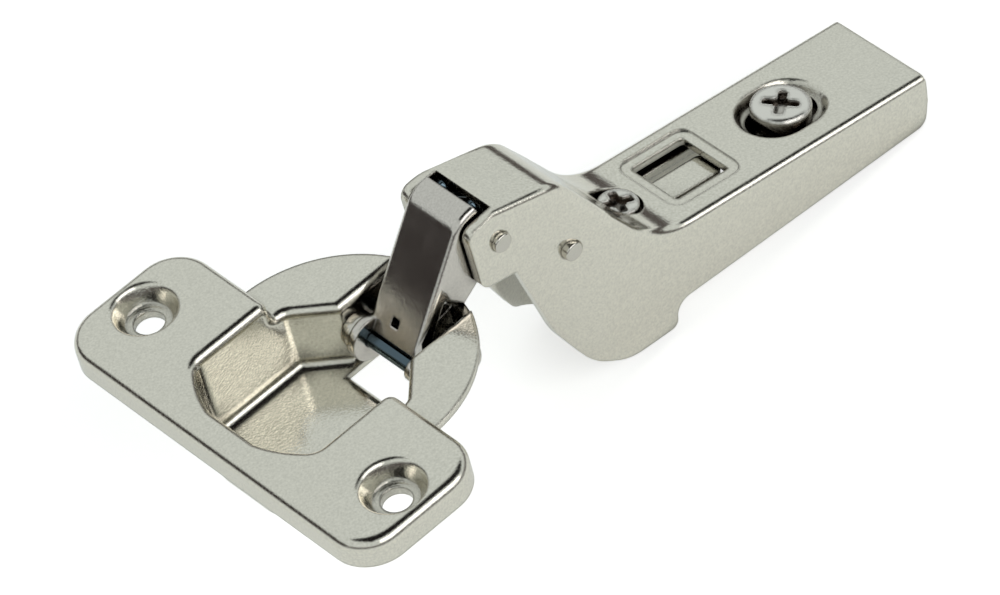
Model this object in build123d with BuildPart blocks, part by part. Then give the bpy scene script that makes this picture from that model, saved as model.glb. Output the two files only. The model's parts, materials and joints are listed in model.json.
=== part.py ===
from build123d import *
import os
from math import atan2, cos, degrees, radians, sin, sqrt, tan

os.makedirs("parts", exist_ok=True)

# Concealed cup hinge, shown open.
# Units are millimetres.
# The origin is the centre of the bore that takes the cup, on the door's face.
# +X points from the cup to the hinge arm, +Y runs along the flange, +Z points out of the door.
# The mechanism is a four-bar linkage: cup, outer link, arm and inner link.

# ---- sheet thicknesses and clearances ----
cup_sheet = 0.9
link_sheet = 1.2
arm_sheet = 1.4
carriage_sheet = 1.2
inner_plate_sheet = 1.3
running_clearance = 0.05
side_clearance = 0.3
slide_clearance = 0.25
thread_clearance = 0.05

# ---- cup: bore, rim and flange ----
bore_diameter = 35.0
bore_clearance = 0.2
rim_top = 0.8
screw_spacing = 45.0
screw_line_x = -10.2
screw_hole_diameter = 3.9
flange_front_x = -20.1
flange_rear_x = -0.2
flange_end = 5.65
flange_height = 4.0
flange_corner_radius = 5.5
flange_edge_radius = 1.5
rim_root_radius = 0.9
dimple_radius = 4.2
dimple_seat_radius = 2.9
dimple_seat_z = 1.5
dimple_lip_radius = 0.8
dimple_foot_gap = 0.2

# ---- cup: pocket ----
pocket_front_gap = 1.6
pocket_side_gap = 6.5
pocket_depth = 8.8
pocket_corner_radius = 2.5
shoulder_fold_radius = 1.6
throat_fold_radius = 0.7
rear_corner_radius = 1.5
shoulder_x = 1.5
throat_half_width = 6.3
mouth_radius = 1.3
floor_radius = 1.4
floor_end_x = 4.35
floor_gap_half_width = 5.2
floor_lip = 0.4
floor_lip_radius = 1.4
rear_wall_top = -0.6
rear_notch_half_width = 2.4
rear_notch_bottom = -5.6

# ---- linkage pivots with the hinge open ----
cup_front_pivot = (7.6, -4.2)
cup_rear_pivot = (11.7, -4.5)
arm_front_pivot = (22.75, 6.35)
arm_rear_pivot = (31.75, -2.7)
cup_pin_radius = 1.0
cup_rear_pin_radius = 0.8
arm_pin_radius = 1.3
rivet_height = 0.7
rivet_round = 0.3
cup_pin_end = 0.4

# ---- outer link ----
web_angle = 53.0
web_offset = 0.52
web_start = 1.36
web_end = 17.7
curl_radius = 4.5
curl_angle = 55.0
outer_link_half_width = 4.5
outer_link_bend_radius = 0.8
left_ear_radius = 2.95
right_ear_radius = 1.6
right_ear_step = 1.0
ear_step_start = 3.4
ear_step_end = 2.2
pilot_hole_at = 3.8
pilot_hole_size = 1.2
pilot_hole_shift = 0.2
arm_ear_radius = 2.8
arm_ear_lead = 45.0
narrow_flange_depth = 1.9
wide_flange_depth = 5.5
flange_step_start = 8.5
flange_step_end = 9.1

# ---- inner link ----
inner_eye_radius = 2.2
inner_neck_low_x = 17.1
inner_neck_low_z = -4.7
inner_crest_low_x = 20.2
inner_crest_low_z = -1.2
inner_back_low_x = 27.0
inner_back_low_z = -4.4
inner_neck_top_x = 16.3
inner_neck_top_z = -2.5
inner_crest_top_x = 19.6
inner_crest_top_z = 1.5
inner_back_top_x = 26.5
inner_back_top_z = 0.6
inner_bend_radius = 1.0
free_slot_play = 0.6
free_slot_half = 0.9
free_slot_shift = 0.22
free_slot_wall = 1.3

# ---- arm ----
channel_step = 2.05
knuckle_front_x = 23.5
knuckle_front_z = 10.9
knuckle_slope = 19.0
drop_x = 36.7
drop_z = 1.0
drop_slope = 60.0
deck_x = 50.0
deck_z = -11.4
deck_slope = 10.9
arm_end_x = 87.4
shoulder_radius = 6.0
foot_radius = 12.0
arm_bend_radius = 1.1
flare_start = 28.6
flare_end = 34.2
flare_level = -9.5
flare_lean = 14.0
flare_radius = 5.0
pin_chamfer = 0.2
spacer_radius = 2.4

# ---- arm: side outline ----
ear_front_x = 18.5
ear_top_z = 10.7
ear_low_x = 18.7
ear_low_z = 1.2
ear_corner_radius = 1.6
notch_x = 23.9
notch_z = -0.1
notch_radius = 0.5
lobe_front_x = 26.9
lobe_front_z = -13.8
lobe_low_x = 29.8
lobe_low_z = -20.4
lobe_radius = 6.0
lobe_base_x = 35.0
lobe_base_z = -24.4
lobe_base_radius = 8.0
lobe_rear_x = 43.1
lobe_rear_z = -25.35
lobe_rear_radius = 1.2
edge_start_x = 43.4
edge_start_z = -21.8
edge_start_radius = 2.2
edge_end_x = 85.9
edge_end_z = -25.9
edge_end_radius = 1.6
arm_tail_x = 87.0
arm_tail_z = -22.4

# ---- arm: screws, dishes and window on the deck (distances along the deck) ----
side_screw_at = -6.1
side_screw_dish_radius = 3.5
side_screw_seat_depth = 1.0
side_screw_dish_rise = 2.5
window_start = 0.2
window_end = 8.9
window_side_shift = 0.45
window_half_width = 4.2
window_corner_radius = 0.4
window_frame_width = 1.4
window_frame_depth = 0.3
fixing_screw_at = 21.2
dish_half_width = 4.9
dish_straight = 2.8
dish_depth = 1.2
dish_slope = 0.9
slot_half_width = 2.9
slot_straight = 4.4

# ---- arm: spring parts ----
bush_radius = 1.9
spring_wire = 0.8
spring_tip_x = 22.2
spring_tip_z = 11.2
spring_knee_x = 23.3
spring_knee_z = 8.35
spring_heel_x = 33.4
spring_heel_z = 2.35

# ---- carriage ----
carriage_depth = 3.0
carriage_front = -9.3
carriage_rear = 33.0
carriage_skirt = 5.0
carriage_travel = 1.4
carriage_bend_radius = 1.0
tongue_start = -0.9
tongue_foot = 1.3
tongue_rise = 1.3
tongue_half_width = 2.1
tongue_end = 9.8
tongue_gap = 2.9
tongue_corner_radius = 1.5
serration_pitch = 0.8
serration_depth = 0.35
serration_start = 14.6
serration_end = 28.6

# ---- screws ----
fixing_head_radius = 3.9
fixing_head_height = 2.1
fixing_head_edge = 1.6
fixing_head_flat = 3.2
fixing_shank_radius = 2.0
fixing_shank_length = 7.0
fixing_drive_radius = 2.35
fixing_drive_turn = 37.5
side_head_radius = 2.7
side_head_height = 1.8
side_head_edge = 1.5
side_head_flat = 2.4
side_drive_radius = 2.1
side_drive_turn = 70.0
side_shank_radius = 2.0
side_groove_radius = 1.2
side_groove_gap = 0.2
side_foot_height = 0.9
drive_depth = 1.3
drive_wing = 1.15
drive_core = 1.7

# ---- places and sizes that follow from the values above ----
rim_radius = bore_diameter / 2 - bore_clearance
pocket_clip_radius = rim_radius - cup_sheet
pocket_front_x = pocket_front_gap - bore_diameter / 2
pocket_half_width = bore_diameter / 2 - pocket_side_gap
flange_length = screw_spacing + 2 * flange_end
throat_x = shoulder_x + pocket_half_width - throat_half_width
cup_pin_half = throat_half_width + cup_sheet + cup_pin_end
right_ear_half_width = outer_link_half_width + right_ear_step
knuckle_half_width = outer_link_half_width + side_clearance + arm_sheet
channel_half_width = knuckle_half_width + channel_step
reach = flange_length


def pivot_line(pivot):
    """Plane whose normal is the pivot's axis, along the hinge's width."""
    return Plane(origin=(pivot[0], 0, pivot[1]), x_dir=(1, 0, 0), z_dir=(0, -1, 0))


# ---- cup: one drawn sheet with a raised flange, a C-shaped rim and an open floor ----
with BuildSketch() as pocket_plan:
    with BuildLine():
        Polyline(
            (pocket_front_x, -pocket_half_width),
            (shoulder_x, -pocket_half_width),
            (throat_x, -throat_half_width),
            (bore_diameter, -throat_half_width),
            (bore_diameter, throat_half_width),
            (throat_x, throat_half_width),
            (shoulder_x, pocket_half_width),
            (pocket_front_x, pocket_half_width),
            close=True,
        )
    make_face()
    Circle(pocket_clip_radius, mode=Mode.INTERSECT)
    fillet(vertices().group_by(Axis.X)[0], pocket_corner_radius)
    fillet(
        vertices().filter_by(lambda v: v.X < 0 and abs(v.Y) > pocket_half_width - running_clearance),
        pocket_corner_radius,
    )
    fillet(
        vertices().filter_by(lambda v: v.X > 0 and abs(v.Y) > pocket_half_width - running_clearance),
        shoulder_fold_radius,
    )
    fillet(vertices().filter_by(lambda v: abs(v.X - throat_x) < running_clearance), throat_fold_radius)
    fillet(vertices().group_by(Axis.X)[-1], rear_corner_radius)

with BuildPart() as pocket:
    with BuildSketch(Plane.XY.offset(-pocket_depth)):
        add(pocket_plan.sketch)
    extrude(amount=pocket_depth + 2 * flange_height)
    fillet(faces().sort_by(Axis.Z)[0].edges(), floor_radius)

with BuildPart() as cup:
    with BuildSketch():
        with Locations((flange_front_x, 0)):
            Rectangle(flange_rear_x - flange_front_x, flange_length, align=(Align.MIN, Align.CENTER))
        fillet(vertices(), flange_corner_radius)
    extrude(amount=flange_height)
    # the rim stands behind the flange
    with BuildSketch(Plane.XY.offset(rim_top - cup_sheet)):
        Circle(rim_radius)
        with Locations((flange_rear_x - cup_sheet, 0)):
            Rectangle(bore_diameter, bore_diameter, align=(Align.MIN, Align.CENTER), mode=Mode.INTERSECT)
    extrude(amount=cup_sheet)
    # the flange rolls over at its edge and runs down into the rim
    fillet(faces().sort_by(Axis.Z)[-1].edges(), flange_edge_radius)
    root = edges().filter_by(Axis.Y).filter_by(
        lambda e: abs(e.center().X - flange_rear_x) < running_clearance
        and abs(e.center().Z - rim_top) < running_clearance
    )
    fillet(root, rim_root_radius)
    # solid body round the pocket
    with BuildSketch(Plane.XY.offset(rim_top - cup_sheet / 2)):
        add(pocket_plan.sketch)
        offset(amount=cup_sheet)
    extrude(amount=-(pocket_depth + cup_sheet / 2 + rim_top))
    fillet(faces().sort_by(Axis.Z)[0].edges(), floor_radius + cup_sheet)
    # hollow under the flange
    with BuildSketch():
        with Locations((flange_front_x + cup_sheet, 0)):
            Rectangle(
                flange_rear_x - flange_front_x - 2 * cup_sheet,
                flange_length - 2 * cup_sheet,
                align=(Align.MIN, Align.CENTER),
            )
        fillet(vertices(), flange_corner_radius - cup_sheet)
        add(offset(pocket_plan.sketch, amount=cup_sheet, mode=Mode.PRIVATE), mode=Mode.SUBTRACT)
    extrude(amount=flange_height - cup_sheet, mode=Mode.SUBTRACT)
    add(pocket.part, mode=Mode.SUBTRACT)
    # the rear wall is cut low between the ends of the rim, and lower again for the inner link
    with BuildSketch(Plane.XY.offset(rear_wall_top)):
        with Locations((throat_x + throat_fold_radius, 0)):
            Rectangle(bore_diameter, 2 * throat_half_width, align=(Align.MIN, Align.CENTER))
    extrude(amount=flange_height, mode=Mode.SUBTRACT)
    with BuildSketch(Plane.XY.offset(rear_notch_bottom)):
        with Locations((throat_x + throat_fold_radius, 0)):
            Rectangle(bore_diameter, 2 * rear_notch_half_width, align=(Align.MIN, Align.CENTER))
    extrude(amount=pocket_depth, mode=Mode.SUBTRACT)
    # rounded mouth
    mouth_line = pocket_plan.sketch.face().outer_wire()
    mouth = edges().filter_by(lambda e: e.bounding_box().min.Z > rim_top - running_clearance)
    mouth = mouth.filter_by(
        lambda e: mouth_line.distance_to(Vertex(e.center().X, e.center().Y, 0)) < running_clearance / 10
    )
    fillet(mouth, mouth_radius)
    # opening in the floor behind the links, its front edge turned down
    with BuildSketch(Plane.XY.offset(-pocket_depth / 2)):
        with Locations((floor_end_x - floor_lip_radius, 0)):
            Rectangle(
                pocket_clip_radius - floor_radius - cup_sheet - floor_end_x + floor_lip_radius,
                2 * floor_gap_half_width,
                align=(Align.MIN, Align.CENTER),
            )
    extrude(amount=-pocket_depth, mode=Mode.SUBTRACT)
    with BuildSketch(Plane.XZ):
        with BuildLine():
            lip_start = Line(
                (floor_end_x - floor_lip_radius - cup_sheet, -pocket_depth),
                (floor_end_x - floor_lip_radius, -pocket_depth),
            )
            lip_bend = JernArc(lip_start @ 1, lip_start % 1, radius=floor_lip_radius, arc_size=-90)
            Line(lip_bend @ 1, lip_bend @ 1 - Vector(0, floor_lip))
            offset(amount=cup_sheet, side=Side.RIGHT)
        make_face()
    extrude(amount=floor_gap_half_width, both=True)
    # holes for the two link pins
    for pivot, radius in ((cup_front_pivot, cup_pin_radius), (cup_rear_pivot, cup_rear_pin_radius)):
        with BuildSketch(pivot_line(pivot)):
            Circle(radius)
        extrude(amount=bore_diameter, both=True, mode=Mode.SUBTRACT)
    # dished screw holes that reach down to the door
    for side in (-1, 1):
        dimple_axis = Axis((screw_line_x, side * screw_spacing / 2, 0), (0, 0, 1))
        dimple_plane = Plane(origin=dimple_axis.position, x_dir=(1, 0, 0), z_dir=(0, -1, 0))
        with BuildSketch(dimple_plane):
            with BuildLine():
                Polyline(
                    (0, dimple_foot_gap),
                    (dimple_seat_radius + cup_sheet, dimple_foot_gap),
                    (dimple_seat_radius + cup_sheet, dimple_seat_z),
                    (dimple_radius + cup_sheet, flange_height - cup_sheet / 2),
                    (0, flange_height - cup_sheet / 2),
                    close=True,
                )
            make_face()
        revolve(axis=dimple_axis)
        with BuildSketch(dimple_plane):
            with BuildLine():
                FilletPolyline(
                    (0, 2 * flange_height),
                    (2 * dimple_radius, 2 * flange_height),
                    (2 * dimple_radius, flange_height),
                    (dimple_radius, flange_height),
                    (dimple_seat_radius, dimple_seat_z),
                    (screw_hole_diameter / 2, dimple_seat_z),
                    (screw_hole_diameter / 2, -flange_height),
                    (0, -flange_height),
                    radius=(0, 0, 0, dimple_lip_radius, 0, 0, 0, 0),
                    close=True,
                )
            make_face()
        revolve(axis=dimple_axis, mode=Mode.SUBTRACT)
cup.part.label = "cup"

# ---- pins and spacers of the cup ----
with BuildPart() as cup_pin_front:
    with BuildSketch(pivot_line(cup_front_pivot)):
        Circle(cup_pin_radius)
    extrude(amount=cup_pin_half, both=True)
    chamfer(edges().filter_by(GeomType.CIRCLE), pin_chamfer)
cup_pin_front.part.label = "cup_pin_front"

with BuildPart() as cup_pin_rear:
    with BuildSketch(pivot_line(cup_rear_pivot)):
        Circle(cup_rear_pin_radius)
    extrude(amount=cup_pin_half, both=True)
    chamfer(edges().filter_by(GeomType.CIRCLE), pin_chamfer)
cup_pin_rear.part.label = "cup_pin_rear"

with BuildPart() as cup_pin_spacer_left:
    with BuildSketch(pivot_line(cup_front_pivot).offset(-throat_half_width)):
        Circle(spacer_radius)
        Circle(cup_pin_radius + running_clearance, mode=Mode.SUBTRACT)
    extrude(amount=throat_half_width - outer_link_half_width - running_clearance)
cup_pin_spacer_left.part.label = "cup_pin_spacer_left"

with BuildPart() as cup_pin_spacer_right:
    with BuildSketch(pivot_line(cup_front_pivot).offset(throat_half_width)):
        Circle(right_ear_radius)
        Circle(cup_pin_radius + running_clearance, mode=Mode.SUBTRACT)
    extrude(amount=right_ear_half_width + running_clearance - throat_half_width)
cup_pin_spacer_right.part.label = "cup_pin_spacer_right"

# ---- outer link: a folded channel with its web towards the cup and a curl at the arm ----
link_dir = (cos(radians(web_angle)), 0, sin(radians(web_angle)))
link_plane = Plane(origin=(cup_front_pivot[0], 0, cup_front_pivot[1]), x_dir=link_dir, z_dir=(0, -1, 0))
arm_pivot_on_link = link_plane.to_local_coords(Vector(arm_front_pivot[0], 0, arm_front_pivot[1]))
web_back = web_offset - link_sheet

with BuildSketch(link_plane) as link_side:
    # plate round the arm's pivot and under the web
    with BuildLine():
        flange_low = Polyline(
            (web_start, web_offset),
            (web_start, web_offset - narrow_flange_depth),
            (flange_step_end, web_offset - narrow_flange_depth),
            (flange_step_start, web_offset - wide_flange_depth),
            (arm_pivot_on_link.X, arm_pivot_on_link.Y - arm_ear_radius),
            arm_pivot_on_link + Vector(arm_ear_radius).rotate(Axis.Z, arm_ear_lead),
        )
        front = Line((web_start, web_offset), (web_end, web_offset))
        curl = JernArc(front @ 1, front % 1, radius=curl_radius, arc_size=-curl_angle)
        Line(curl @ 1, flange_low @ 1)
    make_face()
    with Locations((arm_pivot_on_link.X, arm_pivot_on_link.Y)):
        Circle(arm_ear_radius)

with BuildSketch(link_plane) as link_web:
    with BuildLine():
        outside = Line((web_start, web_offset), (web_end, web_offset))
        outside_curl = JernArc(outside @ 1, outside % 1, radius=curl_radius, arc_size=-curl_angle)
        inside = Line((web_start, web_back), (web_end, web_back))
        inside_curl = JernArc(inside @ 1, inside % 1, radius=curl_radius - link_sheet, arc_size=-curl_angle)
        Line(outside @ 0, inside @ 0)
        Line(outside_curl @ 1, inside_curl @ 1)
    make_face()

with BuildPart() as stepped_ear:
    with BuildSketch(Plane(origin=link_plane.origin, x_dir=link_plane.x_dir, z_dir=link_plane.y_dir)):
        with BuildLine():
            Polyline(
                (flange_step_start, -outer_link_half_width),
                (ear_step_start, -outer_link_half_width),
                (ear_step_end, -right_ear_half_width),
                (-right_ear_radius, -right_ear_half_width),
            )
            offset(amount=link_sheet, side=Side.RIGHT)
        make_face()
    extrude(amount=reach, both=True)
    with BuildSketch(link_plane):
        Circle(right_ear_radius)
        with BuildLine():
            Polyline(
                (0, right_ear_radius),
                (ear_step_end, web_offset),
                (flange_step_start, web_back),
                (flange_step_start, web_offset - narrow_flange_depth),
                (ear_step_end, web_offset - narrow_flange_depth),
                (0, -right_ear_radius),
                close=True,
            )
        make_face()
    extrude(amount=right_ear_half_width, both=True, mode=Mode.INTERSECT)

with BuildPart() as outer_link:
    extrude(link_side.sketch, amount=outer_link_half_width, both=True)
    fillet(
        edges().filter_by(GeomType.LINE).filter_by(
            lambda e: abs(link_plane.to_local_coords(e.center()).Y - web_offset) < running_clearance / 10
            and abs(abs(e.center().Y) - outer_link_half_width) < running_clearance / 10
            and e.length > curl_radius
        ),
        outer_link_bend_radius,
    )
    with BuildSketch(link_plane):
        Circle(reach)
        add(link_web.sketch_local, mode=Mode.SUBTRACT)
    extrude(amount=outer_link_half_width - link_sheet, both=True, mode=Mode.SUBTRACT)
    # ears on the cup's pin: a plain one on the left and a stepped one on the right
    with BuildSketch(link_plane.offset(-outer_link_half_width)):
        Circle(left_ear_radius)
    extrude(amount=link_sheet)
    add(stepped_ear.part)
    with BuildSketch(pivot_line(cup_front_pivot)):
        Circle(cup_pin_radius + running_clearance)
    extrude(amount=right_ear_half_width, both=True, mode=Mode.SUBTRACT)
    with BuildSketch(pivot_line(arm_front_pivot)):
        Circle(arm_pin_radius + running_clearance)
    extrude(amount=outer_link_half_width, both=True, mode=Mode.SUBTRACT)
    # square pilot hole in the web
    with BuildSketch(Plane(origin=link_plane.origin, x_dir=link_plane.x_dir, z_dir=link_plane.y_dir)):
        with Locations((pilot_hole_at, pilot_hole_shift)):
            Rectangle(pilot_hole_size, pilot_hole_size)
    extrude(amount=outer_link_half_width, both=True, mode=Mode.SUBTRACT)
outer_link.part.label = "outer_link"

# ---- arm: one folded sheet, an open channel that narrows to a knuckle with two ears ----
def rise(slope):
    """Height gained per unit of X on a line that falls by the given angle."""
    return -tan(radians(slope))


def crossing(first, first_slope, second, second_slope):
    """Point where two falling lines meet."""
    x = (second[1] - first[1] + rise(first_slope) * first[0] - rise(second_slope) * second[0]) / (
        rise(first_slope) - rise(second_slope)
    )
    return (x, first[1] + rise(first_slope) * (x - first[0]))


knuckle_front = (knuckle_front_x, knuckle_front_z)
arm_shoulder = crossing(knuckle_front, knuckle_slope, (drop_x, drop_z), drop_slope)
arm_foot = crossing((drop_x, drop_z), drop_slope, (deck_x, deck_z), deck_slope)
arm_end = (arm_end_x, deck_z + rise(deck_slope) * (arm_end_x - deck_x))
lean = (sin(radians(flare_lean)), 0, cos(radians(flare_lean)))
deck_dir = (cos(radians(deck_slope)), 0, -sin(radians(deck_slope)))
deck_up = (sin(radians(deck_slope)), 0, cos(radians(deck_slope)))
deck = Plane(origin=(deck_x, 0, deck_z), x_dir=deck_dir, z_dir=deck_up)


def arm_plan(half_front, half_rear):
    """Plan view of the arm: narrow at the knuckle, then flaring to the channel."""
    with BuildSketch() as plan:
        with BuildLine():
            Polyline(
                (0, -half_front),
                (flare_start, -half_front),
                (flare_end, -half_rear),
                (2 * arm_end_x, -half_rear),
                (2 * arm_end_x, half_rear),
                (flare_end, half_rear),
                (flare_start, half_front),
                (0, half_front),
                close=True,
            )
        make_face()
        fillet(vertices().filter_by(lambda v: flare_start - 1 < v.X < flare_end + 1), flare_radius)
    return plan.sketch.moved(Location((0, 0, flare_level)))


with BuildPart() as channel:
    with BuildSketch(Plane.XZ):
        with BuildLine():
            FilletPolyline(
                (knuckle_front_x - reach, knuckle_front_z - rise(knuckle_slope) * reach),
                arm_shoulder,
                arm_foot,
                (arm_end_x + reach, deck_z + rise(deck_slope) * (arm_end_x + reach - deck_x)),
                (arm_end_x + reach, -2 * reach),
                (knuckle_front_x - reach, -2 * reach),
                radius=(0, shoulder_radius, foot_radius, 0, 0, 0),
                close=True,
            )
        make_face()
        offset(amount=-arm_sheet, kind=Kind.INTERSECTION)
    extrude(amount=channel_half_width, both=True)
    extrude(
        arm_plan(knuckle_half_width - arm_sheet, channel_half_width - arm_sheet),
        amount=2 * reach,
        dir=lean,
        both=True,
        mode=Mode.INTERSECT,
    )

with BuildPart() as arm:
    with BuildSketch(Plane.XZ):
        with BuildLine():
            FilletPolyline(
                (ear_front_x, ear_top_z),
                knuckle_front,
                arm_shoulder,
                arm_foot,
                arm_end,
                (arm_tail_x, arm_tail_z),
                (edge_end_x, edge_end_z),
                (edge_start_x, edge_start_z),
                (lobe_rear_x, lobe_rear_z),
                (lobe_base_x, lobe_base_z),
                (lobe_low_x, lobe_low_z),
                (lobe_front_x, lobe_front_z),
                (notch_x, notch_z),
                (ear_low_x, ear_low_z),
                radius=(
                    ear_corner_radius,
                    0,
                    shoulder_radius,
                    foot_radius,
                    0,
                    edge_end_radius,
                    edge_end_radius,
                    edge_start_radius,
                    lobe_rear_radius,
                    lobe_base_radius,
                    lobe_radius,
                    foot_radius,
                    notch_radius,
                    ear_corner_radius,
                ),
                close=True,
            )
        make_face()
    extrude(amount=channel_half_width, both=True)
    extrude(
        arm_plan(knuckle_half_width, channel_half_width),
        amount=arm_end_x,
        dir=lean,
        both=True,
        mode=Mode.INTERSECT,
    )
    with BuildLine(Plane.XZ, mode=Mode.PRIVATE) as top_line:
        FilletPolyline(knuckle_front, arm_shoulder, arm_foot, arm_end, radius=(shoulder_radius, foot_radius))
    ridge = top_line.line
    fillet(
        edges().filter_by(
            lambda e: abs(e.center().Y) > knuckle_half_width / 2
            and ridge.distance_to(Vertex(e.center().X, 0, e.center().Z)) < running_clearance / 10
        ),
        arm_bend_radius,
    )
    # hollow channel, open below and behind
    add(channel.part, mode=Mode.SUBTRACT)
    # the web stops short of the ears
    with BuildSketch(Plane.XZ):
        with Locations((knuckle_front_x, ear_low_z)):
            Rectangle(reach, reach, align=(Align.MAX, Align.MIN))
    extrude(amount=knuckle_half_width - arm_sheet, both=True, mode=Mode.SUBTRACT)
    # drawn dish for the fixing screw, with a slot in its floor
    with BuildSketch(deck.offset(-dish_depth - arm_sheet)) as dish_outside:
        with Locations((fixing_screw_at, 0)):
            SlotCenterToCenter(dish_straight, 2 * dish_half_width)
    extrude(amount=dish_depth + arm_sheet / 2)
    with BuildSketch(deck.offset(-dish_depth)):
        with Locations((fixing_screw_at, 0)):
            SlotCenterToCenter(dish_straight, 2 * (dish_half_width - dish_slope))
    with BuildSketch(deck):
        with Locations((fixing_screw_at, 0)):
            SlotCenterToCenter(dish_straight, 2 * dish_half_width)
    loft(mode=Mode.SUBTRACT)
    with BuildSketch(deck.offset(-dish_depth - 2 * arm_sheet)):
        with Locations((fixing_screw_at, 0)):
            SlotCenterToCenter(slot_straight, 2 * slot_half_width)
    extrude(amount=3 * arm_sheet, mode=Mode.SUBTRACT)
    # window with a pressed frame
    with BuildSketch(deck.offset(-window_frame_depth)):
        with Locations(((window_start + window_end) / 2, window_side_shift)):
            RectangleRounded(
                window_end - window_start + 2 * window_frame_width,
                2 * (window_half_width + window_frame_width),
                window_corner_radius + window_frame_width,
            )
    extrude(amount=arm_sheet, mode=Mode.SUBTRACT)
    with BuildSketch(deck.offset(-2 * arm_sheet)):
        with Locations(((window_start + window_end) / 2, window_side_shift)):
            RectangleRounded(window_end - window_start, 2 * window_half_width, window_corner_radius)
    extrude(amount=3 * arm_sheet, mode=Mode.SUBTRACT)
    # dished seat and threaded neck of the side screw
    with BuildSketch(deck.offset(-side_screw_seat_depth - arm_sheet)):
        with Locations((side_screw_at, 0)):
            Circle(side_screw_dish_radius)
    extrude(amount=arm_sheet)
    with BuildSketch(deck.offset(-side_screw_seat_depth)):
        with Locations((side_screw_at, 0)):
            Circle(side_head_radius + side_clearance)
    with BuildSketch(deck.offset(side_screw_dish_rise)):
        with Locations((side_screw_at, 0)):
            Circle(side_screw_dish_radius)
    loft(mode=Mode.SUBTRACT)
    with BuildSketch(deck.offset(-reach / 2)):
        with Locations((side_screw_at, 0)):
            Circle(side_shank_radius + thread_clearance)
    extrude(amount=reach / 2 + side_screw_dish_rise, mode=Mode.SUBTRACT)
    # rivet holes in the ears
    for pivot in (arm_front_pivot, arm_rear_pivot):
        with BuildSketch(pivot_line(pivot)):
            Circle(arm_pin_radius)
        extrude(amount=channel_half_width, both=True, mode=Mode.SUBTRACT)
arm.part.label = "arm"

# ---- pins of the arm, riveted over outside the ears ----
def half_width_at(pivot):
    """Half-width of the arm where a pin comes through its side."""
    along = pivot[0] - (pivot[1] - flare_level) * tan(radians(flare_lean)) - flare_start
    share = min(max(along / (flare_end - flare_start), 0), 1)
    return knuckle_half_width + share * (channel_half_width - knuckle_half_width)


with BuildPart() as arm_pin_front:
    with BuildSketch(pivot_line(arm_front_pivot)):
        Circle(arm_pin_radius)
    extrude(amount=half_width_at(arm_front_pivot) + rivet_height, both=True)
    fillet(edges().filter_by(GeomType.CIRCLE), rivet_round)
arm_pin_front.part.label = "arm_pin_front"

with BuildPart() as arm_pin_rear:
    with BuildSketch(pivot_line(arm_rear_pivot)):
        Circle(arm_pin_radius)
    extrude(amount=half_width_at(arm_rear_pivot) + rivet_height, both=True)
    fillet(edges().filter_by(GeomType.CIRCLE), rivet_round)
arm_pin_rear.part.label = "arm_pin_rear"

# ---- inner link: three stacked plates, arched over the cup's rear wall ----
link_line = degrees(atan2(arm_rear_pivot[1] - cup_rear_pivot[1], arm_rear_pivot[0] - cup_rear_pivot[0]))
free_plane = Plane(
    origin=(arm_rear_pivot[0], 0, arm_rear_pivot[1]),
    x_dir=(cos(radians(link_line)), 0, sin(radians(link_line))),
    z_dir=(0, -1, 0),
)
slot_radius = arm_pin_radius + free_slot_play
slot_center = (arm_rear_pivot[0] - free_slot_shift, arm_rear_pivot[1])
with BuildSketch(free_plane) as free_eye:
    with Locations((-free_slot_shift, 0)):
        SlotCenterToCenter(2 * free_slot_half, 2 * (slot_radius + free_slot_wall), rotation=90)
with BuildSketch(free_plane) as free_slot:
    with Locations((-free_slot_shift, 0)):
        SlotCenterToCenter(2 * free_slot_half, 2 * slot_radius, rotation=90)
with BuildSketch(Plane.XZ) as inner_body:
    with BuildLine():
        FilletPolyline(
            (cup_rear_pivot[0], cup_rear_pivot[1] - inner_eye_radius),
            (inner_neck_low_x, inner_neck_low_z),
            (inner_crest_low_x, inner_crest_low_z),
            (inner_back_low_x, inner_back_low_z),
            (slot_center[0], slot_center[1] - free_slot_half - slot_radius),
            (slot_center[0], slot_center[1] + free_slot_half + slot_radius),
            (inner_back_top_x, inner_back_top_z),
            (inner_crest_top_x, inner_crest_top_z),
            (inner_neck_top_x, inner_neck_top_z),
            (cup_rear_pivot[0], cup_rear_pivot[1] + inner_eye_radius / 2),
            radius=(
                0,
                inner_bend_radius,
                inner_bend_radius,
                inner_bend_radius,
                0,
                0,
                inner_bend_radius,
                inner_bend_radius,
                inner_bend_radius,
                0,
            ),
            close=True,
        )
    make_face()

plates = []
for place, name in enumerate(("inner_link_plate_right", "inner_link_plate_centre", "inner_link_plate_left"), -1):
    with BuildPart() as plate:
        extrude(inner_body.sketch, amount=inner_plate_sheet / 2, both=True)
        with BuildSketch(pivot_line(cup_rear_pivot)):
            Circle(inner_eye_radius)
        extrude(amount=inner_plate_sheet / 2, both=True)
        extrude(free_eye.sketch, amount=inner_plate_sheet / 2, both=True)
        extrude(free_slot.sketch, amount=inner_plate_sheet, both=True, mode=Mode.SUBTRACT)
        with BuildSketch(pivot_line(cup_rear_pivot)):
            Circle(cup_rear_pin_radius + running_clearance)
        extrude(amount=inner_plate_sheet, both=True, mode=Mode.SUBTRACT)
    stacked = plate.part.moved(Location((0, place * inner_plate_sheet, 0)))
    stacked.label = name
    plates.append(stacked)
inner_half_width = 1.5 * inner_plate_sheet

# ---- closing springs on the arm's rear pin, each on a plain bush ----
spring_mean_radius = bush_radius + side_clearance / 2 + spring_wire / 2
spring_start = inner_half_width + side_clearance
spring_turns = int((knuckle_half_width - arm_sheet - spring_start) / spring_wire)
pin_center = Vector(*arm_rear_pivot)


def tangent_point(target, side):
    """Point of the coil's centre line where a straight leg to the target leaves it."""
    to_target = Vector(*target) - pin_center
    opening = degrees(atan2(sqrt(to_target.length**2 - spring_mean_radius**2), spring_mean_radius))
    swing = degrees(atan2(to_target.Y, to_target.X)) + side * opening
    return pin_center + Vector(spring_mean_radius, 0).rotate(Axis.Z, swing)


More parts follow.
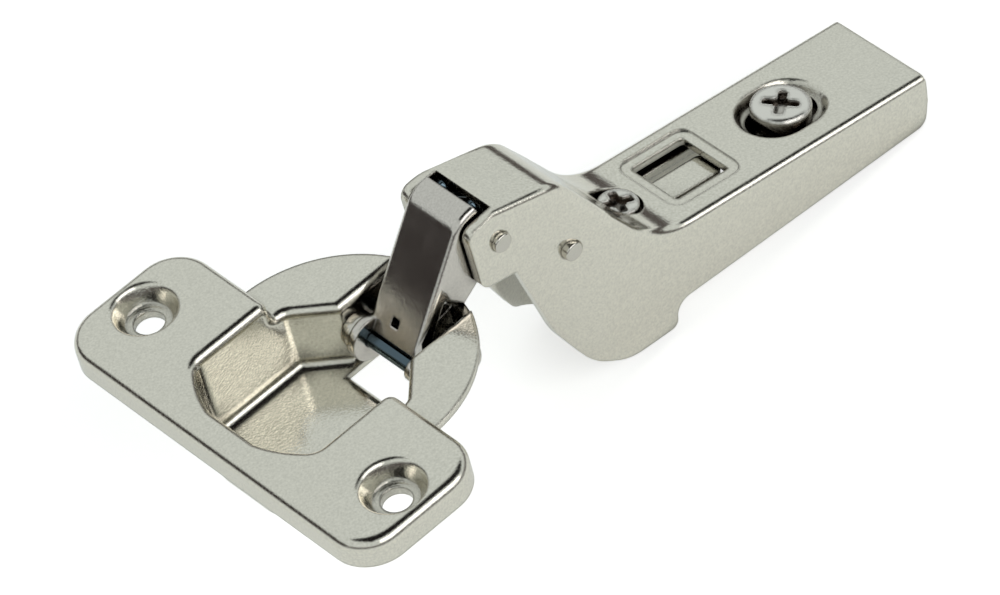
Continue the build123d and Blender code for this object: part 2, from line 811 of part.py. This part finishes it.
knee = (spring_knee_x, spring_knee_z)
heel = (spring_heel_x, spring_heel_z)
leg_start = tangent_point(knee, -1)
heel_start = tangent_point(heel, 1)

with BuildPart() as closing_spring_left:
    # close-wound coil: one ridge for each turn of wire
    with BuildSketch(Plane.YZ.offset(arm_rear_pivot[0])):
        for turn in range(spring_turns):
            ridge_at = spring_start + (turn + 0.5) * spring_wire
            with Locations((ridge_at, arm_rear_pivot[1] + spring_mean_radius)):
                Circle(spring_wire / 2 + running_clearance / 2)
    revolve(axis=Axis((arm_rear_pivot[0], 0, arm_rear_pivot[1]), (0, 1, 0)))
    with BuildLine(Plane.XZ.offset(-spring_start - spring_wire / 2)) as front_leg:
        FilletPolyline((leg_start.X, leg_start.Y), knee, (spring_tip_x, spring_tip_z), radius=spring_wire)
    with BuildSketch(Plane(origin=front_leg.line @ 0, z_dir=front_leg.line % 0)):
        Circle((spring_wire - running_clearance) / 2)
    sweep(path=front_leg.line)
    with BuildLine(Plane.XZ.offset(-spring_start - (spring_turns - 0.5) * spring_wire)) as rear_leg:
        Line((heel_start.X, heel_start.Y), heel)
    with BuildSketch(Plane(origin=rear_leg.line @ 0, z_dir=rear_leg.line % 0)):
        Circle((spring_wire - running_clearance) / 2)
    sweep(path=rear_leg.line)
closing_spring_left.part.label = "closing_spring_left"

with BuildPart() as closing_spring_right:
    add(mirror(closing_spring_left.part, about=Plane.XZ, mode=Mode.PRIVATE))
closing_spring_right.part.label = "closing_spring_right"

with BuildPart() as spring_bush_left:
    with BuildSketch(pivot_line(arm_rear_pivot).offset(-inner_half_width - side_clearance / 2)):
        Circle(bush_radius)
        Circle(arm_pin_radius + running_clearance, mode=Mode.SUBTRACT)
    extrude(amount=-(knuckle_half_width - arm_sheet - inner_half_width - side_clearance))
spring_bush_left.part.label = "spring_bush_left"

with BuildPart() as spring_bush_right:
    add(mirror(spring_bush_left.part, about=Plane.XZ, mode=Mode.PRIVATE))
spring_bush_right.part.label = "spring_bush_right"

# ---- carriage: folded tray under the deck, with a spring tongue and a toothed patch ----
carriage_half_width = channel_half_width - arm_sheet - slide_clearance
carriage_span = carriage_rear - carriage_front
carriage_middle = (carriage_front + carriage_rear) / 2
serration_count = round((serration_end - serration_start) / serration_pitch)

with BuildPart() as carriage:
    with BuildSketch(deck.offset(-carriage_depth)):
        with Locations((carriage_middle, 0)):
            Rectangle(carriage_span, 2 * carriage_half_width)
    extrude(amount=-carriage_skirt)
    tray_top = faces().sort_by(Axis(deck.origin, deck.z_dir))[-1]
    fillet(tray_top.edges().filter_by(Axis(deck.origin, deck.x_dir)), carriage_bend_radius)
    with BuildSketch(deck.offset(-carriage_depth - carriage_sheet)):
        with Locations((carriage_middle, 0)):
            Rectangle(carriage_span + reach, 2 * (carriage_half_width - carriage_sheet))
    extrude(amount=-carriage_skirt, mode=Mode.SUBTRACT)
    # raised spring tongue in an open cut
    with BuildSketch(deck.offset(-carriage_depth - 2 * carriage_sheet)):
        with Locations(((tongue_start + tongue_end + tongue_gap) / 2, 0)):
            RectangleRounded(
                tongue_end + tongue_gap - tongue_start,
                2 * (tongue_half_width + tongue_gap),
                tongue_corner_radius,
            )
    extrude(amount=3 * carriage_sheet, mode=Mode.SUBTRACT)
    with BuildSketch(Plane(origin=deck.origin, x_dir=deck.x_dir, z_dir=(0, -1, 0))):
        with BuildLine():
            tongue_top = Polyline(
                (tongue_start - carriage_sheet, -carriage_depth),
                (tongue_start, -carriage_depth),
                (tongue_foot, tongue_rise - carriage_depth),
                (tongue_end, tongue_rise - carriage_depth),
            )
            offset(tongue_top, amount=-carriage_sheet, side=Side.RIGHT, closed=True)
        make_face()
    extrude(amount=tongue_half_width, both=True)
    fillet(
        edges().filter_by(Axis(deck.origin, deck.z_dir)).filter_by(
            lambda e: abs(abs(e.center().Y) - tongue_half_width) < running_clearance
            and abs(deck.to_local_coords(e.center()).X - tongue_end) < running_clearance
        ),
        tongue_corner_radius,
    )
    # fork that holds the side screw by its groove
    with BuildSketch(deck.offset(-carriage_depth - 2 * carriage_sheet)):
        with Locations((side_screw_at, 0)):
            Rectangle(reach, 2 * (side_groove_radius + side_groove_gap), align=(Align.MAX, Align.CENTER))
            SlotCenterToCenter(2 * carriage_travel, 2 * (side_groove_radius + side_groove_gap))
    extrude(amount=3 * carriage_sheet, mode=Mode.SUBTRACT)
    # teeth across the patch under the arm's slot
    with BuildSketch(Plane(origin=deck.origin, x_dir=deck.x_dir, z_dir=(0, -1, 0))):
        with Locations(((serration_start + serration_end) / 2, -carriage_depth)):
            with GridLocations(serration_pitch, 0, serration_count, 1):
                Polygon(
                    (-serration_pitch / 2, running_clearance),
                    (0, -serration_depth),
                    (serration_pitch / 2, running_clearance),
                    align=None,
                )
    extrude(amount=dish_half_width, both=True, mode=Mode.SUBTRACT)
    # threaded hole for the fixing screw
    with BuildSketch(deck.offset(-carriage_depth - 2 * carriage_sheet)):
        with Locations((fixing_screw_at, 0)):
            Circle(fixing_shank_radius + thread_clearance)
    extrude(amount=3 * carriage_sheet, mode=Mode.SUBTRACT)
carriage.part.label = "carriage"


# ---- screws ----
def on_deck(at, height):
    """Point over the deck's middle line."""
    return deck.origin + deck.x_dir * at + deck.z_dir * height


def head_outline(at, seat, edge, height, radius, flat):
    """Half section of a pan head with a flat top and a rounded edge."""
    with BuildSketch(Plane(origin=on_deck(at, seat), x_dir=deck.x_dir, z_dir=(0, -1, 0))) as half:
        with BuildLine():
            Polyline((flat, height), (0, height), (0, 0), (radius, 0), (radius, edge))
            EllipticalCenterArc((flat, edge), radius - flat, height - edge, start_angle=0, arc_size=90)
        make_face()
    return half.sketch


def cross_recess(at, top, radius, turn):
    """Plan of a cross-shaped drive."""
    with BuildSketch(Plane(origin=on_deck(at, top), x_dir=deck.x_dir, z_dir=deck.z_dir)) as cross:
        RectangleRounded(2 * radius, drive_wing, drive_wing / 3, rotation=turn)
        RectangleRounded(drive_wing, 2 * radius, drive_wing / 3, rotation=turn)
        Rectangle(drive_core, drive_core, rotation=turn)
    return cross.sketch


fixing_seat = -dish_depth + running_clearance
side_seat = -side_screw_seat_depth + running_clearance

with BuildPart() as fixing_screw:
    fixing_line = Axis(on_deck(fixing_screw_at, 0), deck.z_dir)
    revolve(
        head_outline(
            fixing_screw_at,
            fixing_seat,
            fixing_head_edge,
            fixing_head_height,
            fixing_head_radius,
            fixing_head_flat,
        ),
        axis=fixing_line,
    )
    with BuildSketch(deck.offset(fixing_seat - fixing_shank_length)):
        with Locations((fixing_screw_at, 0)):
            Circle(fixing_shank_radius)
    extrude(amount=fixing_shank_length)
    extrude(
        cross_recess(
            fixing_screw_at, fixing_seat + fixing_head_height, fixing_drive_radius, fixing_drive_turn
        ),
        amount=-drive_depth,
        mode=Mode.SUBTRACT,
    )
fixing_screw.part.label = "fixing_screw"

with BuildPart() as side_adjust_screw:
    revolve(
        head_outline(
            side_screw_at,
            side_seat,
            side_head_edge,
            side_head_height,
            side_head_radius,
            side_head_flat,
        ),
        axis=Axis(on_deck(side_screw_at, 0), deck.z_dir),
    )
    with BuildSketch(deck.offset(-carriage_depth + side_groove_gap)):
        with Locations((side_screw_at, 0)):
            Circle(side_shank_radius)
    extrude(amount=carriage_depth - side_groove_gap + side_seat)
    with BuildSketch(deck.offset(-carriage_depth - carriage_sheet - side_groove_gap)):
        with Locations((side_screw_at, 0)):
            Circle(side_groove_radius)
    extrude(amount=carriage_sheet + 2 * side_groove_gap)
    with BuildSketch(deck.offset(-carriage_depth - carriage_sheet - side_groove_gap)):
        with Locations((side_screw_at, 0)):
            Circle(side_shank_radius)
    extrude(amount=-side_foot_height)
    extrude(
        cross_recess(side_screw_at, side_seat + side_head_height, side_drive_radius, side_drive_turn),
        amount=-drive_depth,
        mode=Mode.SUBTRACT,
    )
side_adjust_screw.part.label = "side_adjust_screw"

# ---- one file for each piece ----
for piece in (
    cup,
    cup_pin_front,
    cup_pin_rear,
    cup_pin_spacer_left,
    cup_pin_spacer_right,
    outer_link,
    arm,
    arm_pin_front,
    arm_pin_rear,
    closing_spring_left,
    closing_spring_right,
    spring_bush_left,
    spring_bush_right,
    carriage,
    fixing_screw,
    side_adjust_screw,
):
    export_step(piece.part, f"parts/{piece.part.label}.step")
for piece in plates:
    export_step(piece, f"parts/{piece.label}.step")
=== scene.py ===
import json
import math

import bmesh
import bpy
from mathutils import Matrix, Vector


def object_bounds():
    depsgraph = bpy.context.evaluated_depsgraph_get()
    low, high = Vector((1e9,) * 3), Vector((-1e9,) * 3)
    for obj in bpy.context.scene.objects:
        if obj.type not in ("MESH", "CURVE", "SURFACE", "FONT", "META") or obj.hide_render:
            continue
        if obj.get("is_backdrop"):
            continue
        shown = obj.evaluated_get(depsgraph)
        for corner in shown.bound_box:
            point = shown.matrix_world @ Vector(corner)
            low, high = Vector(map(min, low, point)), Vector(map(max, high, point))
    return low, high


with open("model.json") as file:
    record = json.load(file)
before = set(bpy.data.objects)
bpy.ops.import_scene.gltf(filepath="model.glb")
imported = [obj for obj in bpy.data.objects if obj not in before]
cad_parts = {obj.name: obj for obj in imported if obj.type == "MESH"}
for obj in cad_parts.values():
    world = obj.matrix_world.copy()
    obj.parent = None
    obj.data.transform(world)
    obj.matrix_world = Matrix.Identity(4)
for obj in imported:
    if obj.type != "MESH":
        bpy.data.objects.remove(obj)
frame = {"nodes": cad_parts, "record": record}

lo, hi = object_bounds()
scene = bpy.context.scene
MM = 0.001

# numbers of the colour sockets on a Mix node
MIX_A, MIX_B, MIX_OUT = 6, 7, 2


# ---- helpers ----
def linear(code):
    """sRGB hex code to linear RGB with alpha."""
    channels = [int(code[i : i + 2], 16) / 255 for i in (0, 2, 4)]
    return [c / 12.92 if c <= 0.04045 else ((c + 0.055) / 1.055) ** 2.4 for c in channels] + [1.0]


def add(tree, kind, inputs=None, **settings):
    """Adds a node, sets its properties, then links or sets its inputs."""
    made = tree.nodes.new(kind)
    for name, value in settings.items():
        setattr(made, name, value)
    for name, value in (inputs or {}).items():
        if isinstance(value, bpy.types.NodeSocket):
            tree.links.new(value, made.inputs[name])
        else:
            made.inputs[name].default_value = value
    return made


def empty_tree(owner):
    """Node tree of a material or a world, with nothing in it."""
    owner.use_nodes = True
    owner.node_tree.nodes.clear()
    return owner.node_tree


def remap(tree, value, from_low, from_high, to_low, to_high):
    """Output of a node that takes one range of values to another."""
    limits = {"From Min": from_low, "From Max": from_high, "To Min": to_low, "To Max": to_high}
    return add(tree, "ShaderNodeMapRange", {"Value": value, **limits}).outputs["Result"]


def metal(name, colour, roughness, spread, grain, relief, soften=0.0, mottle=0.0, painted_shade=None):
    """Plated or blued steel.

    grain is the size in mm of the fine texture and relief its height in mm, spread the swing of the
    roughness from place to place, soften the radius in mm of the worn edges, mottle the share by which the
    tone changes, and the last argument the colour of a painted shade, which the plating is mixed towards
    in hollows, creases and corners, where the ambient occlusion finds it enclosed.
    """
    made = bpy.data.materials.new(name)
    tree = empty_tree(made)
    place = add(tree, "ShaderNodeTexCoord").outputs["Object"]
    fine = add(tree, "ShaderNodeTexNoise", {"Vector": place, "Scale": 1 / (grain * MM), "Detail": 2.0})
    broad = add(tree, "ShaderNodeTexNoise", {"Vector": place, "Scale": 1 / (4 * MM), "Detail": 3.0})
    rough = remap(tree, broad.outputs["Fac"], 0.3, 0.7, roughness - spread, roughness + spread)
    height = {"Height": fine.outputs["Fac"], "Strength": 1.0, "Distance": relief * MM}
    bumps = add(tree, "ShaderNodeBump", height)
    if soften:
        rolled = add(tree, "ShaderNodeBevel", {"Radius": soften * MM}, samples=6)
        tree.links.new(rolled.outputs["Normal"], bumps.inputs["Normal"])
    tint = linear(colour)
    # painted shade: the colour is mixed towards the given dark colour where the ambient occlusion finds the
    # surface enclosed
    if painted_shade:
        sky_seen = add(tree, "ShaderNodeAmbientOcclusion", {"Distance": 5 * MM}, samples=4)
        openness = remap(tree, sky_seen.outputs["AO"], 0.4, 0.7, 0.0, 1.0)
        painted_shade_blend = {"Factor": openness, MIX_A: linear(painted_shade), MIX_B: tint}
        tint = add(tree, "ShaderNodeMix", painted_shade_blend, data_type="RGBA").outputs[MIX_OUT]
    if mottle:
        tone = remap(tree, fine.outputs["Fac"], 0.25, 0.75, 1 - mottle, 1.0)
        scaled = {0: tint if painted_shade else tint[:3], "Scale": tone}
        tint = add(tree, "ShaderNodeVectorMath", scaled, operation="SCALE").outputs[0]
    skin = add(
        tree,
        "ShaderNodeBsdfPrincipled",
        {"Base Color": tint, "Metallic": 1.0, "Roughness": rough, "Normal": bumps.outputs["Normal"]},
    )
    add(tree, "ShaderNodeOutputMaterial", {"Surface": skin.outputs["BSDF"]})
    return made


def plastic(name, colour, roughness):
    """Plain moulded plastic."""
    made = bpy.data.materials.new(name)
    made.use_nodes = True
    skin = made.node_tree.nodes["Principled BSDF"]
    skin.inputs["Base Color"].default_value = linear(colour)
    skin.inputs["Roughness"].default_value = roughness
    return made


# ---- materials, by the slot that each piece names ----
slot_finish = {
    # satin nickel plate over pressed sheet, warm and finely grained, for the cup, the arm and the carriage
    # with a painted shade, dark brown, in its hollows, the pocket's corners and the arm's channel
    "nickel_plate": metal(
        "satin_nickel_plated_steel", "EAE6DA", 0.13, 0.03, 0.3, 0.014, soften=0.6, mottle=0.18, painted_shade="30271D"
    ),
    # brighter nickel plate on the thicker links
    # with a painted shade, dark brown, where the links lie enclosed
    "link_plate": metal(
        "bright_nickel_plated_steel", "D8D3CC", 0.16, 0.03, 0.3, 0.016, soften=0.4, mottle=0.15, painted_shade="2A251F"
    ),
    # plated rivets and collars
    "bright_steel": metal("plated_rivet_steel", "CFCBC2", 0.2, 0.03, 0.3, 0.006),
    # blued steel of the cup's pins and the springs
    "blued_steel": metal("blued_spring_steel", "56656E", 0.18, 0.04, 0.3, 0.003),
    # shiny plated screws with worn edges and a painted shade, dark brown, in the recess
    "zinc_screw": metal(
        "bright_plated_screw_steel", "E6E3DC", 0.12, 0.03, 0.4, 0.003, soften=1.0, painted_shade="54483D"
    ),
    # sleeves inside the springs
    "bush_plastic": plastic("black_acetal", "1B1B1C", 0.45),
}
for part in frame["record"]["subparts"]:
    piece = frame["nodes"][part["node"]]
    piece.data.materials.clear()
    piece.data.materials.append(slot_finish[part["material_slot"]])

# small rounded edges on every piece but the springs, with normals that keep the flats flat
EDGE_ROUND = 0.08
for name, piece in frame["nodes"].items():
    weld = piece.modifiers.new("weld", "WELD")
    weld.merge_threshold = 0.001 * MM
    flats = piece.modifiers.new("join_flats", "DECIMATE")
    flats.decimate_type = "DISSOLVE"
    flats.angle_limit = math.radians(0.2)
    if not name.startswith("closing_spring"):
        round_edges = piece.modifiers.new("round_edges", "BEVEL")
        round_edges.width = EDGE_ROUND * MM
        round_edges.segments = 2
        round_edges.limit_method = "ANGLE"
        round_edges.angle_limit = math.radians(40)
        round_edges.use_clamp_overlap = True
        round_edges.face_strength_mode = "FSTR_AFFECTED"
    even = piece.modifiers.new("even_normals", "WEIGHTED_NORMAL")
    even.weight = 100
    even.keep_sharp = False
    even.use_face_influence = True


# ---- studio: floor, sky and cards, with no lamps ----
def card(name, corners, material):
    """Flat four-cornered sheet of the studio, given by its corners in metres. Only the floor is in view."""
    mesh = bpy.data.meshes.new(name)
    sheet = bmesh.new()
    sheet.faces.new([sheet.verts.new(corner) for corner in corners])
    sheet.to_mesh(mesh)
    sheet.free()
    made = bpy.data.objects.new(name, mesh)
    made.data.materials.append(material)
    made.visible_camera = name == "floor"
    scene.collection.objects.link(made)
    made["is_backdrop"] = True
    return made


def upright(name, start, end, low, high, material):
    """Card that stands on the line from start to end, between two heights."""
    return card(name, [(*start, low), (*end, low), (*end, high), (*start, high)], material)


def glowing(name, code, strength):
    """Surface that gives off its own even light."""
    made = bpy.data.materials.new(name)
    tree = empty_tree(made)
    lit = add(tree, "ShaderNodeEmission", {"Color": linear(code), "Strength": strength})
    add(tree, "ShaderNodeOutputMaterial", {"Surface": lit.outputs[0]})
    return made


# white matt floor, lifted to white for the camera and less so in the metal's reflections
white = bpy.data.materials.new("white_studio_floor")
tree = empty_tree(white)
ray = add(tree, "ShaderNodeLightPath")
matt = add(tree, "ShaderNodeBsdfDiffuse", {"Color": linear("F4F4F2")})
glow = add(tree, "ShaderNodeEmission", {"Color": linear("FFFFFF"), "Strength": 0.6})
faint = add(tree, "ShaderNodeEmission", {"Color": linear("DDE3E2"), "Strength": 0.3})
seen = add(tree, "ShaderNodeAddShader", {0: matt.outputs[0], 1: glow.outputs[0]})
mirrored = add(tree, "ShaderNodeAddShader", {0: matt.outputs[0], 1: faint.outputs[0]})
chosen = {"Fac": ray.outputs["Is Camera Ray"], 1: mirrored.outputs[0], 2: seen.outputs[0]}
shown = add(tree, "ShaderNodeMixShader", chosen)
add(tree, "ShaderNodeOutputMaterial", {"Surface": shown.outputs[0]})
FLOOR_GAP, FLOOR_HALF = 0.0005, 3
floor_z = lo.z - FLOOR_GAP
corner_signs = [(-1, -1), (1, -1), (1, 1), (-1, 1)]
card("floor", [(x * FLOOR_HALF, y * FLOOR_HALF, floor_z) for x, y in corner_signs], white)

# even pale sky
world = bpy.data.worlds.new("studio")
scene.world = world
tree = empty_tree(world)
sky = add(tree, "ShaderNodeBackground", {"Color": linear("DDE3E2"), "Strength": 0.95})
add(tree, "ShaderNodeOutputWorld", {"Surface": sky.outputs[0]})

black_card = glowing("black_card", "1E1C1C", 1.0)
grey_card = glowing("grey_card", "3E3A39", 1.0)
dark_wall = glowing("dark_wall", "5A5655", 1.0)
soft_box = glowing("soft_box", "FFFFFF", 2.6)

# black card overhead, which darkens the folds
OVERHEAD_Z = 1.0
overhead_plan = [(-0.5, -0.60), (1.4, -0.60), (1.4, 0.27), (-0.5, 0.27)]
card("overhead_card", [(x, y, OVERHEAD_Z) for x, y in overhead_plan], black_card)
# low dark wall all round, which draws the thin dark line along the edges
WALL_LOW, WALL_HIGH, WALL_FAR, WALL_SIDES = -0.04, 0.30, 1.25, 12
turns = [2 * math.pi * k / WALL_SIDES for k in range(WALL_SIDES + 1)]
wall_line = [(WALL_FAR * math.cos(t), WALL_FAR * math.sin(t)) for t in turns]
for start, end in zip(wall_line, wall_line[1:]):
    upright("low_wall", start, end, WALL_LOW, WALL_HIGH, dark_wall)
# grey card low behind the cup, that the link's web mirrors
upright("low_card", (-1.05, 0.10), (-0.45, 1.05), WALL_LOW, 0.40, grey_card)
# bright softbox on the camera's side, leaning back
SOFTBOX_LEFT, SOFTBOX_RIGHT = -0.30, 1.10
softbox_foot, softbox_head = (-0.95, 0.44), (-0.75, 0.80)
softbox_corners = [
    (SOFTBOX_LEFT, *softbox_foot),
    (SOFTBOX_RIGHT, *softbox_foot),
    (SOFTBOX_RIGHT, *softbox_head),
    (SOFTBOX_LEFT, *softbox_head),
]
card("front_softbox", softbox_corners, soft_box)

# ---- camera: its turn and tilt, how far it stands, and where the origin falls in the picture ----
AZIMUTH, ELEVATION, ROLL = math.radians(-31.29), math.radians(46.26), math.radians(-15.59)
DISTANCE = 0.899
FOCAL = 7582.0
ORIGIN_PX = (336.8, 366.6)
CENTRE_PX = (500.0, 297.5)
WIDTH_PX = 1000
SENSOR = 36.0
side = Vector((math.cos(AZIMUTH), math.sin(AZIMUTH), 0))
back = Vector(
    (math.sin(AZIMUTH) * math.cos(ELEVATION), -math.cos(AZIMUTH) * math.cos(ELEVATION), math.sin(ELEVATION))
)
top = back.cross(side)
across = side * math.cos(ROLL) + top * math.sin(ROLL)
upward = top * math.cos(ROLL) - side * math.sin(ROLL)
shift_x = (ORIGIN_PX[0] - CENTRE_PX[0]) * DISTANCE / FOCAL
shift_y = -(ORIGIN_PX[1] - CENTRE_PX[1]) * DISTANCE / FOCAL
camera_data = bpy.data.cameras.new("camera")
camera_data.sensor_width = SENSOR
camera_data.lens = FOCAL / WIDTH_PX * SENSOR
camera_data.clip_start = 0.05
camera_data.clip_end = 20.0
camera = bpy.data.objects.new("camera", camera_data)
scene.collection.objects.link(camera)
scene.camera = camera
spot = back * DISTANCE - across * shift_x - upward * shift_y
camera.matrix_world = Matrix([
    [across.x, upward.x, back.x, spot.x],
    [across.y, upward.y, back.y, spot.y],
    [across.z, upward.z, back.z, spot.z],
    [0, 0, 0, 1],
])
scene.view_settings.view_transform = "Standard"

lo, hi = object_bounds()
